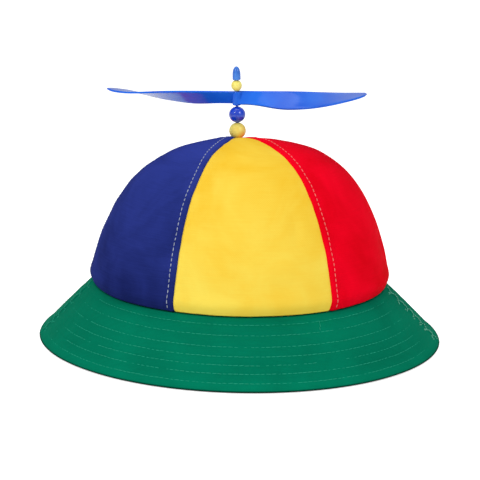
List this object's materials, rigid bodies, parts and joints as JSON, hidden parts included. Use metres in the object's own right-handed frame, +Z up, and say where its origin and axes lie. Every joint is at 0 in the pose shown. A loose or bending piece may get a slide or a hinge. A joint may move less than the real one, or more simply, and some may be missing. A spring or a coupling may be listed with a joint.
{
  "type": "propeller beanie",
  "caption": "Soft cloth cap sewn from coloured panels on a flared brim, with a propeller that spins on a beaded pin at its top.",
  "frame": {"origin": "centre of the brim's lower edge, on the surface that the hat rests on", "axes": "+Z up through the crown, -Y towards the hat's front panel, +X to the right when the front is seen"},
  "size_m": [0.246, 0.246, 0.165],
  "materials": {
    "cloth_yellow": "matte cotton twill",
    "cloth_red": "matte cotton twill",
    "cloth_blue": "matte cotton twill",
    "cloth_green": "matte cotton twill, row-stitched",
    "bead_yellow": "satin paint",
    "bead_blue": "gloss paint",
    "bead_pale_yellow": "satin paint",
    "plastic_blue": "gloss moulded plastic",
    "pin": "plain moulded plastic"
  },
  "bodies": {
    "hat": {"crown_panel_front": "cloth_yellow", "crown_panel_front_right": "cloth_red", "crown_panel_back_right": "cloth_blue", "crown_panel_back": "cloth_yellow", "crown_panel_back_left": "cloth_red", "crown_panel_front_left": "cloth_blue", "brim_front": "cloth_green", "brim_back": "cloth_green", "spindle": "pin", "lower_bead": "bead_yellow", "upper_bead": "bead_blue", "small_bead": "bead_pale_yellow", "spindle_cap": "plastic_blue"},
    "propeller": {"propeller": "plastic_blue"}
  },
  "joints": [
    {"name": "propeller_spin", "type": "hinge", "parent": "hat", "child": "propeller", "pos_m": [-0.00472, 0, 0.14574], "axis": [0, 0, 1], "continuous": true}
  ]
}
